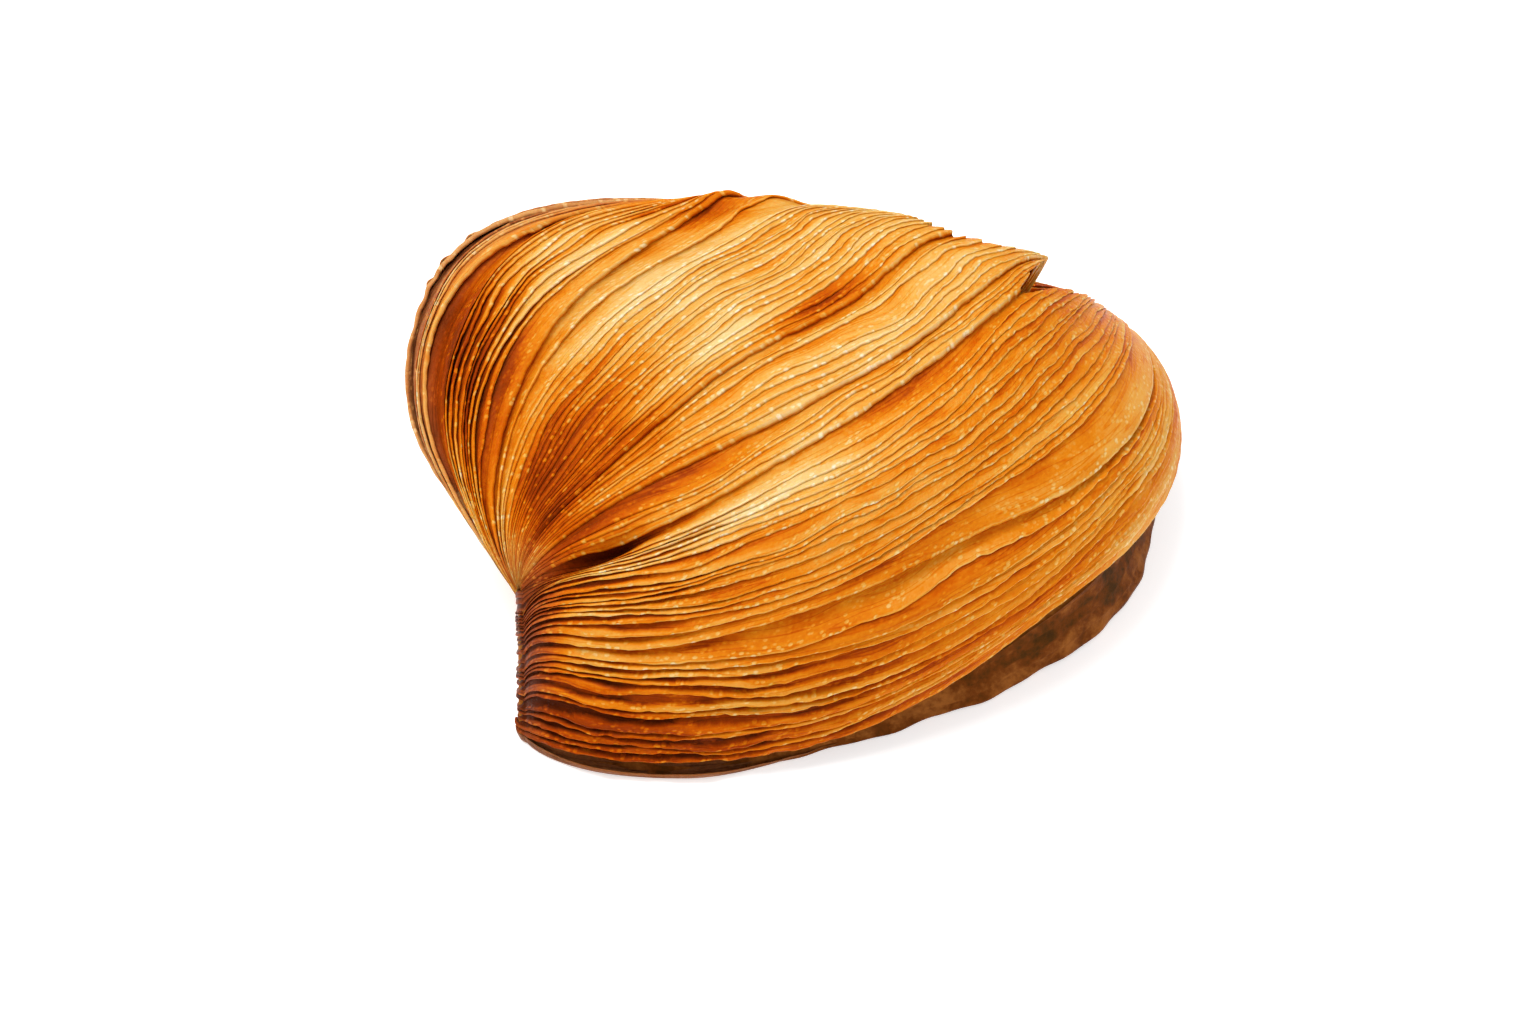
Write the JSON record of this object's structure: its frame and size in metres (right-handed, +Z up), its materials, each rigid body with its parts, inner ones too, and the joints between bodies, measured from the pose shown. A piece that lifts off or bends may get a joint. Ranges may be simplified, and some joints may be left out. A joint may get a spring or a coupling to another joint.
{
  "type": "sfogliatella",
  "caption": "Shell-shaped baked pastry of thin fanned leaves, with ridged layers that run from one pinched corner over a domed crown to the other, on a flat foot.",
  "frame": {"origin": "on the flat foot, below the middle of the pastry's box", "axes": "+X towards the broad rounded right end, +Y towards the back wall, +Z up"},
  "size_m": [0.1142, 0.0882, 0.0522],
  "materials": {
    "crust": "baked pastry crust, golden to dark brown, lightly glossy"
  },
  "bodies": {
    "root": {"pastry": "crust"}
  },
  "joints": []
}
